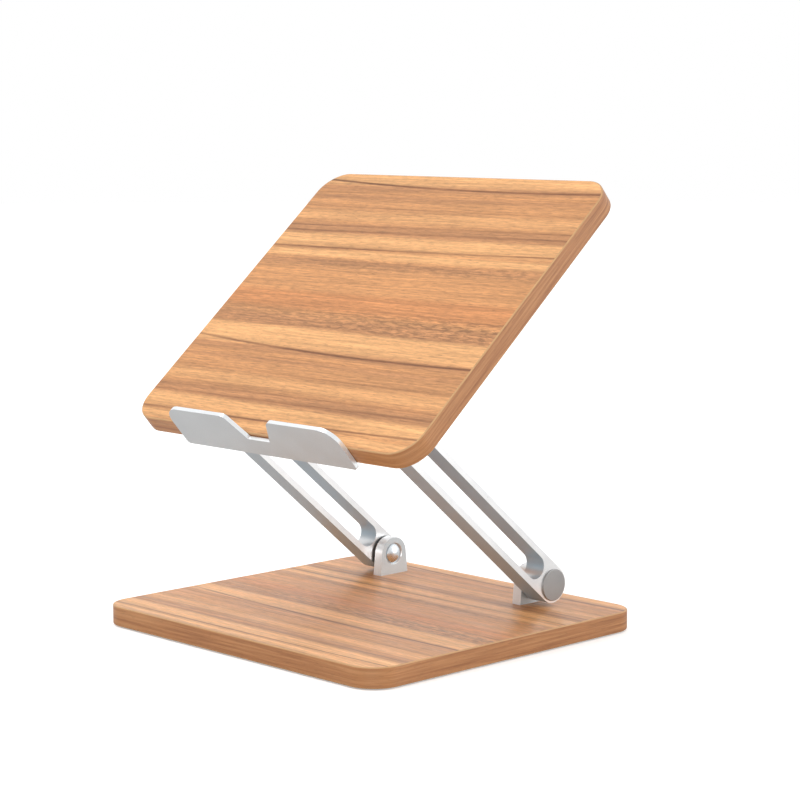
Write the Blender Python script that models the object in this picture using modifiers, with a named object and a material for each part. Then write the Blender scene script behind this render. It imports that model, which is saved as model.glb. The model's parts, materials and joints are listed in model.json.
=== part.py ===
"""Tablet stand: a tray board held over a base board by two slotted, folding arms.

Metres, +Z up. The origin is on the ground, under the middle of the base board. The person who
uses the stand sits towards -Y, with +X on the right. The stand is modelled half open, as it
holds a tablet: the arms lean forward from the base, and the tray leans back from the stop
plate along its front edge.
"""

import math

import bmesh
import bpy
from mathutils import Matrix

GAP = 0.0003  # clearance between pieces that touch
OVERRUN = 0.001  # how far a cutter runs past the face it enters by
ROUND_SIDES = 32  # sides of a large circle
SMALL_SIDES = 16  # sides of a small circle
SIDES = (("left", -1), ("right", 1))

# Boards: the base and the tray are the same blank.
BOARD_WIDTH = 0.240
BOARD_DEPTH = 0.220
BOARD_THICKNESS = 0.012
BOARD_CORNER = 0.018
BOARD_EDGE = 0.0008

# Feet: rubber discs let into the underside of the base.
FOOT_RADIUS = 0.010
FOOT_THICKNESS = 0.0020
FOOT_PROUD = 0.0008
FOOT_INSET = 0.024
FOOT_CHAMFER = 0.0004

# Hinge lines, both parallel to X, and the pose of the stand.
HINGE_INSET = 0.0328
HINGE_RISE = 0.0131
PIVOT_SPAN = 0.1578
ARM_ANGLE = math.radians(40.1)
TRAY_ANGLE = math.radians(40.5)
HINGE_Y = BOARD_DEPTH / 2 - HINGE_INSET
HINGE_Z = FOOT_PROUD + BOARD_THICKNESS + HINGE_RISE

# Brackets: an upright with a round top about the hinge line.
BRACKET_INNER = 0.0577
BRACKET_THICKNESS = 0.0065
BRACKET_FOOT = 0.024
BRACKET_TOP = 0.0106
BRACKET_EDGE = 0.0005
FLANGE_REACH = 0.022
FLANGE_THICKNESS = 0.003
FLANGE_CORNER = 0.004

# Arms: slotted bars outside the brackets.
ARM_INNER = 0.0657
ARM_THICKNESS = 0.0141
ARM_RADIUS = 0.011
ARM_EDGE = 0.0006
SLOT_RADIUS = 0.0072
SLOT_INSET = 0.020

# Hinge pieces, along the hinge line.
BARREL_RADIUS = 0.0040
BARREL_END = 0.0735
BARREL_BORE = 0.0028
BARREL_FLOOR = 0.0610
DOME_RADIUS = 0.0059
DOME_RIM = 0.0009
DOME_HEIGHT = 0.0020
DOME_SEAT_RADIUS = 0.0066
DOME_SEAT_DEPTH = 0.0014
WELL_RADIUS = 0.0066
WELL_DEPTH = 0.0052
HINGE_SCREW_RADIUS = 0.0025
HINGE_SCREW_TIP = 0.0620
HINGE_HEAD_RADIUS = 0.0050
HINGE_HEAD_HEIGHT = 0.0022
HINGE_HEAD_BEVEL = 0.0003
HINGE_SOCKET_RADIUS = 0.0019
WASHER_RADIUS = 0.0095
SPRING_RADIUS = 0.0060
SPRING_THICKNESS = 0.0006
SPRING_DISH = 0.0004
CAP_RADIUS = 0.0097
CAP_THICKNESS = 0.0008
CAP_BEVEL = 0.0004
CAP_SPIGOT = 0.0012

# Stop plate: bent sheet across the front edge of the tray.
STOP_HALF_WIDTH = 0.0737
STOP_THICKNESS = 0.0025
STOP_HEIGHT = 0.0155
STOP_CORNER = 0.012
STOP_LOWER_CORNER = 0.002
STOP_EDGE = 0.0005
NOTCH_FLOOR = 0.0020
NOTCH_HALF_FLOOR = 0.0095
NOTCH_HALF_TOP = 0.0188
NOTCH_CORNER = 0.0050
LEDGE_HALF_WIDTH = 0.058
LEDGE_REACH = 0.0150
LEDGE_CORNER = 0.005

# Countersunk screws: shank and head radius, length, and where each set sits.
SCREW_RADIUS = 0.0015
SCREW_HEAD_RADIUS = 0.0029
SCREW_HEAD_RIM = 0.0002
SCREW_SINK = 0.0003
SOCKET_RADIUS = 0.0012
SOCKET_DEPTH = 0.0011
BASE_SCREW_LENGTH = 0.0170
BASE_SCREW_SPREAD = 0.0070
TRAY_SCREW_LENGTH = 0.0095
TRAY_SCREW_SPREAD = 0.0065
TRAY_SCREW_REACH = 0.0110
STOP_SCREW_LENGTH = 0.0090
STOP_SCREW_SET_BACK = 0.0085
STOP_SCREWS = (("outer_left", -0.046), ("inner_left", -0.018),
               ("inner_right", 0.018), ("outer_right", 0.046))

# Finishes: colour, roughness, metallic.
FINISHES = {
    "wood": ((0.62, 0.36, 0.18), 0.50, 0.0),
    "aluminium": ((0.80, 0.80, 0.81), 0.34, 1.0),
    "polished_steel": ((0.78, 0.77, 0.76), 0.10, 1.0),
    "grey_metal": ((0.42, 0.42, 0.42), 0.45, 1.0),
    "zinc_steel": ((0.62, 0.63, 0.64), 0.30, 1.0),
    "rubber": ((0.03, 0.03, 0.03), 0.85, 0.0),
    "nylon": ((0.035, 0.035, 0.037), 0.50, 0.0),
}


def new_collection(name):
    collection = bpy.data.collections.new(name)
    bpy.context.scene.collection.children.link(collection)
    return collection


def new_object(name, data, collection, parent=None, location=(0, 0, 0), rotation=(0, 0, 0)):
    item = bpy.data.objects.new(name, data)
    collection.objects.link(item)
    item.parent = parent
    item.location = location
    item.rotation_euler = rotation
    return item


def baked_mesh(item):
    """The evaluated mesh of an object, welded and facing outward. The object is removed."""
    bpy.context.view_layer.update()
    evaluated = item.evaluated_get(bpy.context.evaluated_depsgraph_get())
    mesh = bpy.data.meshes.new_from_object(evaluated)
    shape = bmesh.new()
    shape.from_mesh(mesh)
    bmesh.ops.remove_doubles(shape, verts=shape.verts, dist=0.00001)
    bmesh.ops.recalc_face_normals(shape, faces=shape.faces)
    shape.to_mesh(mesh)
    shape.free()
    bpy.data.objects.remove(item, do_unlink=True)
    return mesh


def add_part(name, mesh, finish, parent=None, location=(0, 0, 0), rotation=(0, 0, 0)):
    """A sub-part with its own mesh and its own material, placed in its parent's frame."""
    colour, roughness, metallic = FINISHES[finish]
    material = bpy.data.materials.new(f"{name}_{finish}")
    material.use_nodes = True
    material.diffuse_color = (*colour, 1.0)
    shader = material.node_tree.nodes["Principled BSDF"]
    shader.inputs["Base Color"].default_value = (*colour, 1.0)
    shader.inputs["Roughness"].default_value = roughness
    shader.inputs["Metallic"].default_value = metallic
    own_mesh = mesh.copy()
    own_mesh.name = name
    own_mesh.materials.clear()
    own_mesh.materials.append(material)
    own_mesh.shade_smooth()
    own_mesh.set_sharp_from_angle(angle=math.radians(30))
    return new_object(name, own_mesh, parts, parent, location, rotation)


def add_cutter(name, mesh, parent=None, location=(0, 0, 0), rotation=(0, 0, 0)):
    cutter = new_object(name, mesh, cutters, parent, location, rotation)
    cutter.hide_render = True
    cutter.display_type = "WIRE"
    return cutter


def combine(item, operation, tools):
    for tool in tools:
        modifier = item.modifiers.new(tool.name, "BOOLEAN")
        modifier.operation = operation
        modifier.solver = "EXACT"
        modifier.object = tool


def bevel_edges(item, width, segments):
    modifier = item.modifiers.new("edge", "BEVEL")
    modifier.width = width
    modifier.segments = segments
    modifier.limit_method = "ANGLE"
    modifier.angle_limit = math.radians(50)


def arc(centre, radius, start, stop, steps):
    """Points from one angle to another about a centre, both ends included."""
    turns = (start + (stop - start) * step / steps for step in range(steps + 1))
    return [(centre[0] + radius * math.cos(turn), centre[1] + radius * math.sin(turn))
            for turn in turns]


def rounded_outline(corners, steps=4):
    """A closed outline from (x, y, radius) corners, each rounded by an arc of its radius."""
    outline = []
    for index, (x, y, radius) in enumerate(corners):
        if not radius:
            outline.append((x, y))
            continue
        before = corners[index - 1]
        after = corners[(index + 1) % len(corners)]
        back = math.atan2(before[1] - y, before[0] - x)
        ahead = math.atan2(after[1] - y, after[0] - x)
        half = math.remainder(ahead - back, math.tau) / 2
        reach = radius / math.sin(abs(half))
        centre = (x + reach * math.cos(back + half), y + reach * math.sin(back + half))
        swing = math.copysign(math.pi / 2 - abs(half), half)
        facing = back + half + math.pi
        outline += arc(centre, radius, facing + swing, facing - swing, steps)
    return outline


def capsule(start, stop, radius, steps):
    """A closed outline with round ends about two points on the first axis."""
    quarter = math.pi / 2
    return (arc((start, 0), radius, quarter, 3 * quarter, steps)
            + arc((stop, 0), radius, -quarter, quarter, steps))


def plate_mesh(outlines, thickness, edge=0.0):
    """Closed outlines in the XY plane, the first with the others as holes, made thick along Z."""
    curve = bpy.data.curves.new("outline", "CURVE")
    curve.dimensions = "2D"
    curve.fill_mode = "BOTH"
    curve.extrude = thickness / 2
    for outline in outlines:
        spline = curve.splines.new("POLY")
        spline.points.add(len(outline) - 1)
        for point, (x, y) in zip(spline.points, outline):
            point.co = (x, y, 0, 1)
        spline.use_cyclic_u = True
    mesh = baked_mesh(new_object("outline", curve, parts))
    if not edge:
        return mesh
    bevelled = new_object("plate", mesh, parts)
    bevel_edges(bevelled, edge, 1)
    return baked_mesh(bevelled)


def turned_mesh(profile, sides, closed=False):
    """A (radius, height) profile turned about Z. It runs down the outer side."""
    count = len(profile)
    edges = [(index, index + 1) for index in range(count - 1)]
    if closed:
        edges.append((count - 1, 0))
    mesh = bpy.data.meshes.new("profile")
    mesh.from_pydata([(radius, 0, height) for radius, height in profile], edges, [])
    item = new_object("turned", mesh, parts)
    modifier = item.modifiers.new("turn", "SCREW")
    modifier.axis = "Z"
    modifier.steps = sides
    modifier.render_steps = sides
    modifier.use_merge_vertices = True
    modifier.merge_threshold = 0.00001
    return baked_mesh(item)


def across(side):
    """Turns a piece so that its +Z points outward along the hinge line."""
    return (0, side * math.pi / 2, 0)


UPRIGHT = (math.pi / 2, 0, math.pi / 2)  # an outline's X, Y and Z become Y, Z and X
FACING = (math.pi / 2, 0, 0)  # an outline's X, Y and Z become X, Z and -Y
UPSIDE_DOWN = (math.pi, 0, 0)


def rounded_board(name, parent, centre, tools):
    shape = bmesh.new()
    size = Matrix.Diagonal((BOARD_WIDTH, BOARD_DEPTH, BOARD_THICKNESS, 1))
    bmesh.ops.create_cube(shape, size=1, matrix=size)
    uprights = [edge for edge in shape.edges
                if abs(edge.verts[0].co.z - edge.verts[1].co.z) > BOARD_THICKNESS / 2]
    bmesh.ops.bevel(shape, geom=uprights, offset=BOARD_CORNER, segments=8,
                    profile=0.5, affect="EDGES")
    mesh = bpy.data.meshes.new(name)
    shape.to_mesh(mesh)
    shape.free()
    board = add_part(name, mesh, "wood", parent, centre)
    bevel_edges(board, BOARD_EDGE, 1)
    combine(board, "DIFFERENCE", tools)
    return board


def countersunk_screw(length):
    """A screw with its head's flat face at the origin and its shank down -Z."""
    cone_end = -SCREW_HEAD_RIM - (SCREW_HEAD_RADIUS - SCREW_RADIUS)
    tip = SCREW_RADIUS / 2
    blank = turned_mesh([(0, 0), (SCREW_HEAD_RADIUS, 0), (SCREW_HEAD_RADIUS, -SCREW_HEAD_RIM),
                         (SCREW_RADIUS, cone_end), (SCREW_RADIUS, -length + tip),
                         (tip, -length), (0, -length)], SMALL_SIDES)
    return socketed(blank, SOCKET_RADIUS, SOCKET_DEPTH)


def socketed(blank, radius, depth):
    """A screw blank whose head's face is at the origin, with a hexagon socket cut in it."""
    hexagon = plate_mesh([arc((0, 0), radius, 0, math.tau * 5 / 6, 5)], 2 * depth)
    screw = new_object("screw", blank, parts)
    tool = new_object("socket", hexagon, cutters)
    combine(screw, "DIFFERENCE", [tool])
    mesh = baked_mesh(screw)
    bpy.data.objects.remove(tool, do_unlink=True)
    return mesh


def screw_hole(length):
    """The space that a countersunk screw needs, from above its head to below its tip."""
    head = SCREW_HEAD_RADIUS + GAP
    shank = SCREW_RADIUS + GAP
    end = -length - GAP
    return turned_mesh([(0, OVERRUN), (head, OVERRUN), (head, -SCREW_HEAD_RIM),
                        (shank, -SCREW_HEAD_RIM - head + shank), (shank, end), (0, end)],
                       SMALL_SIDES)


def foot_pads():
    """Four rubber discs, and the cutters for their pockets in the base."""
    disc = turned_mesh([(0, FOOT_THICKNESS), (FOOT_RADIUS, FOOT_THICKNESS),
                        (FOOT_RADIUS, FOOT_CHAMFER), (FOOT_RADIUS - FOOT_CHAMFER, 0), (0, 0)],
                       SMALL_SIDES)
    pocket_top = FOOT_THICKNESS + GAP
    radius = FOOT_RADIUS + GAP
    pocket = turned_mesh([(0, pocket_top), (radius, pocket_top), (radius, -FOOT_PROUD),
                          (0, -FOOT_PROUD)], SMALL_SIDES)
    tools = []
    for end, reach in (("front", -1), ("back", 1)):
        for side_name, side in SIDES:
            x = side * (BOARD_WIDTH / 2 - FOOT_INSET)
            y = reach * (BOARD_DEPTH / 2 - FOOT_INSET)
            add_part(f"foot_pad_{end}_{side_name}", disc, "rubber", None, (x, y, 0))
            tools.append(add_cutter(f"foot_pocket_{end}_{side_name}", pocket, None, (x, y, 0)))
    return tools


def arch_outline(foot_side):
    """A round top about the origin with straight flanks to the foot, below (-1) or above (1)."""
    half = BRACKET_FOOT / 2
    drop = HINGE_RISE - GAP
    flank = math.acos(BRACKET_TOP / math.hypot(half, drop)) - math.atan2(drop, half)
    outline = [(-half, -drop), (half, -drop)]
    outline += arc((0, 0), BRACKET_TOP, flank, math.pi - flank, 14)
    return [(y, -foot_side * z) for y, z in outline]


def hinge_cutter(name, parent, location, side):
    """The stepped bore along one hinge: dome seat, barrel bore and the arm's screw well."""
    outer = ARM_INNER + ARM_THICKNESS
    bore = BARREL_RADIUS + GAP
    seat = BRACKET_INNER + DOME_SEAT_DEPTH
    profile = [(0, outer + OVERRUN), (WELL_RADIUS, outer + OVERRUN),
               (WELL_RADIUS, outer - WELL_DEPTH), (bore, outer - WELL_DEPTH), (bore, seat),
               (DOME_SEAT_RADIUS, seat), (DOME_SEAT_RADIUS, BRACKET_INNER - OVERRUN),
               (0, BRACKET_INNER - OVERRUN)]
    return add_cutter(name, turned_mesh(profile, ROUND_SIDES), parent, location, across(side))


def barrel_mesh():
    """A sleeve nut: a domed head in the bracket's seat and a sleeve that reaches into the arm."""
    seat = BRACKET_INNER + DOME_SEAT_DEPTH - GAP
    rim = seat - DOME_RIM
    sphere = (DOME_RADIUS ** 2 + DOME_HEIGHT ** 2) / (2 * DOME_HEIGHT)
    spread = math.asin(DOME_RADIUS / sphere)
    centre = rim - DOME_HEIGHT + sphere
    dome = arc((0, centre), sphere, spread - math.pi / 2, -math.pi / 2, 6)
    dome[-1] = (0, centre - sphere)
    return turned_mesh([(0, BARREL_FLOOR), (BARREL_BORE, BARREL_FLOOR),
                        (BARREL_BORE, BARREL_END), (BARREL_RADIUS, BARREL_END),
                        (BARREL_RADIUS, seat), (DOME_RADIUS, seat)] + dome, SMALL_SIDES)


def hinge_screw_mesh(head_top):
    """The screw that pulls the arm, the washer and the bracket together, its head at the origin."""
    head = head_top - HINGE_HEAD_HEIGHT
    levels = [(0, head_top), (HINGE_HEAD_RADIUS - HINGE_HEAD_BEVEL, head_top),
              (HINGE_HEAD_RADIUS, head_top - HINGE_HEAD_BEVEL), (HINGE_HEAD_RADIUS, head),
              (HINGE_SCREW_RADIUS, head), (HINGE_SCREW_RADIUS, HINGE_SCREW_TIP),
              (0, HINGE_SCREW_TIP)]
    blank = turned_mesh([(radius, level - head_top) for radius, level in levels], SMALL_SIDES)
    return socketed(blank, HINGE_SOCKET_RADIUS, SOCKET_DEPTH)


def ring_mesh(inner, outer, low, high, dish=0.0):
    """A washer between two levels, its inner rim raised by the dish."""
    return turned_mesh([(inner, high + dish), (outer, high), (outer, low), (inner, low + dish)],
                       SMALL_SIDES, closed=True)


def cap_mesh():
    """A round cover on the arm's outer face, with a spigot in the screw well."""
    low = ARM_INNER + ARM_THICKNESS + GAP
    high = low + CAP_THICKNESS
    spigot = WELL_RADIUS - GAP
    foot = low - CAP_SPIGOT
    return turned_mesh([(0, high), (CAP_RADIUS - CAP_BEVEL, high), (CAP_RADIUS, high - CAP_BEVEL),
                        (CAP_RADIUS, low), (spigot, low), (spigot, foot), (0, foot)], ROUND_SIDES)


def hinge_pieces(level, parent, location):
    """The pieces along one hinge line, left and right: they pull the arm against the bracket."""
    barrel = barrel_mesh()
    washer = ring_mesh(BARREL_RADIUS + GAP, WASHER_RADIUS,
                       BRACKET_INNER + BRACKET_THICKNESS + GAP, ARM_INNER - GAP)
    well_floor = ARM_INNER + ARM_THICKNESS - WELL_DEPTH
    spring_top = well_floor + GAP + SPRING_THICKNESS
    spring = ring_mesh(HINGE_SCREW_RADIUS + GAP, SPRING_RADIUS, well_floor + GAP, spring_top,
                       SPRING_DISH)
    head_top = spring_top + SPRING_DISH + GAP + HINGE_HEAD_HEIGHT
    screw = hinge_screw_mesh(head_top)
    for side_name, side in SIDES:
        turn = across(side)
        add_part(f"{level}_hinge_barrel_{side_name}", barrel, "polished_steel",
                 parent, location, turn)
        add_part(f"{level}_friction_washer_{side_name}", washer, "nylon", parent, location, turn)
        add_part(f"{level}_disc_spring_{side_name}", spring, "zinc_steel", parent, location, turn)
        x, y, z = location
        add_part(f"{level}_hinge_screw_{side_name}", screw, "zinc_steel",
                 parent, (x + side * head_top, y, z), turn)


def base_assembly():
    """The base board with its feet, and its two brackets held by screws from underneath."""
    tools = foot_pads()
    screw = countersunk_screw(BASE_SCREW_LENGTH)
    hole = screw_hole(BASE_SCREW_LENGTH)
    upright = plate_mesh([arch_outline(-1)], BRACKET_THICKNESS, BRACKET_EDGE)
    middle = BRACKET_INNER + BRACKET_THICKNESS / 2
    for side_name, side in SIDES:
        bracket_tools = [hinge_cutter(f"lower_bore_{side_name}", None,
                                      (0, HINGE_Y, HINGE_Z), side)]
        for end, reach in (("front", -1), ("back", 1)):
            spot = (side * middle, HINGE_Y + reach * BASE_SCREW_SPREAD, FOOT_PROUD + SCREW_SINK)
            add_part(f"base_bracket_screw_{side_name}_{end}", screw, "zinc_steel",
                     None, spot, UPSIDE_DOWN)
            bracket_tools.append(add_cutter(f"base_screw_hole_{side_name}_{end}", hole,
                                            None, spot, UPSIDE_DOWN))
        bracket = add_part(f"base_bracket_{side_name}", upright, "aluminium", None,
                           (side * middle, HINGE_Y, HINGE_Z), UPRIGHT)
        combine(bracket, "DIFFERENCE", bracket_tools)
        tools += bracket_tools[1:]
    rounded_board("base_board", None, (0, 0, FOOT_PROUD + BOARD_THICKNESS / 2), tools)


def arm_assembly(lower_hinge):
    """Two slotted arms from the lower hinge line to the upper one, and their four caps."""
    outline = capsule(-PIVOT_SPAN, 0, ARM_RADIUS, 14)
    slot = capsule(SLOT_INSET - PIVOT_SPAN, -SLOT_INSET, SLOT_RADIUS, 10)
    bar = plate_mesh([outline, slot], ARM_THICKNESS, ARM_EDGE)
    cap = cap_mesh()
    for side_name, side in SIDES:
        arm = add_part(f"arm_{side_name}", bar, "aluminium", lower_hinge,
                       (side * (ARM_INNER + ARM_THICKNESS / 2), 0, 0), UPRIGHT)
        lower = bpy.data.objects[f"lower_bore_{side_name}"]
        upper = bpy.data.objects[f"upper_bore_{side_name}"]
        combine(arm, "DIFFERENCE", [lower, upper])
        add_part(f"lower_hinge_cap_{side_name}", cap, "grey_metal", lower_hinge,
                 (0, 0, 0), across(side))
        add_part(f"upper_hinge_cap_{side_name}", cap, "grey_metal", lower_hinge,
                 (0, -PIVOT_SPAN, 0), across(side))


def tray_brackets(upper_hinge):
    """Two brackets with an inward flange under the tray. Returns their screw hole cutters."""
    screw = countersunk_screw(TRAY_SCREW_LENGTH)
    hole = screw_hole(TRAY_SCREW_LENGTH)
    upright = plate_mesh([arch_outline(1)], BRACKET_THICKNESS, BRACKET_EDGE)
    half = BRACKET_FOOT / 2
    seat = HINGE_RISE - GAP
    holes = []
    for side_name, side in SIDES:
        inner = side * (BRACKET_INNER - FLANGE_REACH)
        outer = side * (BRACKET_INNER + BRACKET_THICKNESS / 2)
        outline = rounded_outline([(outer, -half, 0), (outer, half, 0),
                                   (inner, half, FLANGE_CORNER), (inner, -half, FLANGE_CORNER)])
        flange = add_cutter(f"tray_flange_{side_name}", plate_mesh([outline], FLANGE_THICKNESS),
                            upper_hinge, (0, 0, seat - FLANGE_THICKNESS / 2))
        bores = [hinge_cutter(f"upper_bore_{side_name}", upper_hinge, (0, 0, 0), side)]
        for end, reach in (("front", -1), ("back", 1)):
            spot = (side * (BRACKET_INNER - TRAY_SCREW_REACH), reach * TRAY_SCREW_SPREAD,
                    seat - FLANGE_THICKNESS + SCREW_SINK)
            add_part(f"tray_bracket_screw_{side_name}_{end}", screw, "zinc_steel",
                     upper_hinge, spot, UPSIDE_DOWN)
            bores.append(add_cutter(f"tray_screw_hole_{side_name}_{end}", hole,
                                    upper_hinge, spot, UPSIDE_DOWN))
        bracket = add_part(f"tray_bracket_{side_name}", upright, "aluminium", upper_hinge,
                           (outer, 0, 0), UPRIGHT)
        combine(bracket, "UNION", [flange])
        combine(bracket, "DIFFERENCE", bores)
        holes += bores[1:]
    return holes


def stop_plate(upper_hinge):
    """The notched plate at the tray's front edge. Returns its screw hole cutters."""
    top = HINGE_RISE + BOARD_THICKNESS
    under = HINGE_RISE - GAP - STOP_THICKNESS
    notch = [(NOTCH_HALF_TOP, top + STOP_HEIGHT, NOTCH_CORNER),
             (NOTCH_HALF_FLOOR, top - NOTCH_FLOOR, 0)]
    right = [(STOP_HALF_WIDTH, under, STOP_LOWER_CORNER),
             (STOP_HALF_WIDTH, top + STOP_HEIGHT, STOP_CORNER)] + notch
    left = [(-x, z, radius) for x, z, radius in reversed(right)]
    face = plate_mesh([rounded_outline(right + left)], STOP_THICKNESS, STOP_EDGE)
    front_edge = -HINGE_INSET
    plate = add_part("stop_plate", face, "aluminium", upper_hinge,
                     (0, front_edge - GAP - STOP_THICKNESS / 2, 0), FACING)
    ledge_start = front_edge - GAP - STOP_THICKNESS + STOP_EDGE
    ledge_end = front_edge + LEDGE_REACH
    outline = rounded_outline([(-LEDGE_HALF_WIDTH, ledge_start, 0),
                               (LEDGE_HALF_WIDTH, ledge_start, 0),
                               (LEDGE_HALF_WIDTH, ledge_end, LEDGE_CORNER),
                               (-LEDGE_HALF_WIDTH, ledge_end, LEDGE_CORNER)])
    ledge = add_cutter("stop_ledge", plate_mesh([outline], STOP_THICKNESS - STOP_EDGE / 2),
                       upper_hinge, (0, 0, under + (STOP_THICKNESS + STOP_EDGE / 2) / 2))
    combine(plate, "UNION", [ledge])
    screw = countersunk_screw(STOP_SCREW_LENGTH)
    hole = screw_hole(STOP_SCREW_LENGTH)
    holes = []
    for place, x in STOP_SCREWS:
        spot = (x, front_edge + STOP_SCREW_SET_BACK, under + STOP_EDGE / 2 + SCREW_SINK)
        add_part(f"stop_plate_screw_{place}", screw, "zinc_steel", upper_hinge, spot, UPSIDE_DOWN)
        holes.append(add_cutter(f"stop_screw_hole_{place}", hole, upper_hinge, spot, UPSIDE_DOWN))
    combine(plate, "DIFFERENCE", holes)
    return holes


def tray_assembly(upper_hinge):
    """The tray board with its two brackets and the stop plate."""
    tools = tray_brackets(upper_hinge) + stop_plate(upper_hinge)
    centre = (0, BOARD_DEPTH / 2 - HINGE_INSET, HINGE_RISE + BOARD_THICKNESS / 2)
    rounded_board("tray_board", upper_hinge, centre, tools)


for leftover in list(bpy.data.objects):
    bpy.data.objects.remove(leftover, do_unlink=True)
parts = new_collection("tablet_stand")
cutters = new_collection("cutters")
lower_hinge = new_object("lower_hinge_line", None, parts, None,
                         (0, HINGE_Y, HINGE_Z), (-ARM_ANGLE, 0, 0))
upper_hinge = new_object("upper_hinge_line", None, parts, lower_hinge,
                         (0, -PIVOT_SPAN, 0), (ARM_ANGLE + TRAY_ANGLE, 0, 0))
base_assembly()
tray_assembly(upper_hinge)
arm_assembly(lower_hinge)
hinge_pieces("lower", None, (0, HINGE_Y, HINGE_Z))
hinge_pieces("upper", upper_hinge, (0, 0, 0))
bpy.context.view_layer.update()
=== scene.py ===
"""Looks of the tablet stand: a veneered tray held over a veneered base by two slotted arms.

Metres, +Z up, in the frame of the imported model. Each piece is built in the frame of its own
board, arm or hinge line, and then rides on the body that it belongs to.
"""

import json
import math

import bmesh
import bpy
from mathutils import Euler, Matrix, Vector

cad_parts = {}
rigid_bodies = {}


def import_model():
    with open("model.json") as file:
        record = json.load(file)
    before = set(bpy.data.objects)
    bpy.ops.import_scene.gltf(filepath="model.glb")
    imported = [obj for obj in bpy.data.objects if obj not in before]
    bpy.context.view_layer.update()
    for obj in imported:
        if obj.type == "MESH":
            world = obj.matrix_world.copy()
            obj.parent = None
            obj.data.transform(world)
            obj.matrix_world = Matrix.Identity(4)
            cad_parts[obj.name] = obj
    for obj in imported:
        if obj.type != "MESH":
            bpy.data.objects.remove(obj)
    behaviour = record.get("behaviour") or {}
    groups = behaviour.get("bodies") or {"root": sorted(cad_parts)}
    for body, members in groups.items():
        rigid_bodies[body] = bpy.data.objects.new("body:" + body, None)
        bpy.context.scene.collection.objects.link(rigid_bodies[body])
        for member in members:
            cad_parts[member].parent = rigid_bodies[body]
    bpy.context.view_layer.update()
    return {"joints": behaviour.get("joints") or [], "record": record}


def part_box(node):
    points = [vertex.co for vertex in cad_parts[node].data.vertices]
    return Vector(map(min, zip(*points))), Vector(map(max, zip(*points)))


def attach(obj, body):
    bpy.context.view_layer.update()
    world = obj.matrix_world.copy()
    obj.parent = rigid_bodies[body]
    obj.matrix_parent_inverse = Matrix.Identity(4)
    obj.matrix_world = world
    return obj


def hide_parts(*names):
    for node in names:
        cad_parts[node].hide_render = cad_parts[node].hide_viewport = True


OVERRUN = 0.001  # how far a cutter runs past the face it enters by
CONTACT = 0.00005  # how far a piece sinks into the one that it stands on
CLEARANCE = 0.0003  # room between pieces that turn or slide on each other
WELD = 0.000005  # points closer than this become one
CREASE = math.radians(32)  # a sharper turn than this between faces is shown as an edge
BEVEL_ANGLE = math.radians(50)  # a bevel softens edges that turn more sharply than this
ROUND_SIDES = 96
SMALL_SIDES = 48
MILLIMETRES = 1000.0
SIDES = (("left", -1), ("right", 1))

# Which faces of a flat piece take its second material, by the upright part of their normals.
BOARD_FLAT = 0.99
ARM_FACE = 0.3
RIM_SLOPE = 0.95

# Painted light on the arms: an attribute that is 1 where a surface faces down and 0 where it faces
# up, where a cooler colour and a lower metallic are painted to hold off the wood's warm bounce
# light.
PAINTED_UNDERSIDE_LIGHT = "painted_underside_light"
PAINTED_UNDERSIDE_LEVEL = 0.2
PAINTED_UNDERSIDE_SLOPE = 1.5
PAINTED_UNDERSIDE_METALLIC = 0.2

# Camera: place, direction and lens.
CAMERA_PLACE = (0.996877, -0.940112, 0.313623)
CAMERA_AZIMUTH = math.radians(45.87)
CAMERA_ELEVATION = math.radians(7.32)
CAMERA_ROLL = math.radians(-0.14)
CAMERA_LENS = 104.27

# Studio: each light's place, target, size and power, and the backdrop's front and back.
KEY_LIGHT = ((-0.7, -1.0, 1.8), (0, 0, 0.12), 1.6, 15.0)
FILL_LIGHT = ((1.3, -1.5, 0.16), (0, 0, 0.10), 1.2, 9.5)
SIDE_LIGHT = ((1.7, 1.5, 0.6), (0, 0, 0.12), 1.4, 10.0)
BACKDROP = (0.72, 1.12)
FLOOR_RADIUS = 6.0
FLOOR_THICKNESS = 0.002
FLOOR_ALBEDO = (0.70, 0.90)
FLOOR_GLOW = 0.35

# Boards.
BOARD_CORNER = 0.018
BOARD_CORNER_STEPS = 18
BOARD_EDGE = 0.0008

# Brackets.
BRACKET_FOOT = 0.024
BRACKET_TOP = 0.0106
BRACKET_EDGE = 0.0008
FLANGE_REACH = 0.022
FLANGE_THICKNESS = 0.003
FLANGE_CORNER = 0.004
FLANGE_EDGE = 0.0004
SEAT_RADIUS = 0.0066
SEAT_DEPTH = 0.0014
SEAT_CHAMFER = 0.0005

# Arms.
ARM_RADIUS = 0.011
ARM_EDGE = 0.0006
SLOT_RADIUS = 0.0072
SLOT_INSET = 0.020
WELL_RADIUS = 0.0066
WELL_DEPTH = 0.0052

# Hinge pieces, measured from the middle of the stand along the hinge line.
BARREL_RADIUS = 0.0040
BARREL_BORE = 0.0028
BARREL_FLOOR = 0.0610
DOME_RADIUS = 0.0059
DOME_RIM = 0.0009
DOME_HEIGHT = 0.0020
HINGE_SCREW_RADIUS = 0.0025
HINGE_SCREW_TIP = 0.0620
HINGE_HEAD_RADIUS = 0.0050
HINGE_HEAD_HEIGHT = 0.0022
HINGE_HEAD_BEVEL = 0.0003
HINGE_SOCKET_RADIUS = 0.0019
WASHER_RADIUS = 0.0095
SPRING_RADIUS = 0.0060
SPRING_THICKNESS = 0.0006
SPRING_DISH = 0.0004
CAP_RADIUS = 0.0097
CAP_BEVEL = 0.0005

# Stop plate.
STOP_HEIGHT = 0.0155
STOP_CORNER = 0.012
STOP_LOWER_CORNER = 0.002
STOP_THICKNESS = 0.0025
STOP_EDGE = 0.0006
NOTCH_FLOOR = 0.0020
NOTCH_HALF_FLOOR = 0.0095
NOTCH_HALF_TOP = 0.0188
NOTCH_CORNER = 0.0050
LEDGE_HALF_WIDTH = 0.058
LEDGE_REACH = 0.0150
LEDGE_CORNER = 0.005

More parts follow.
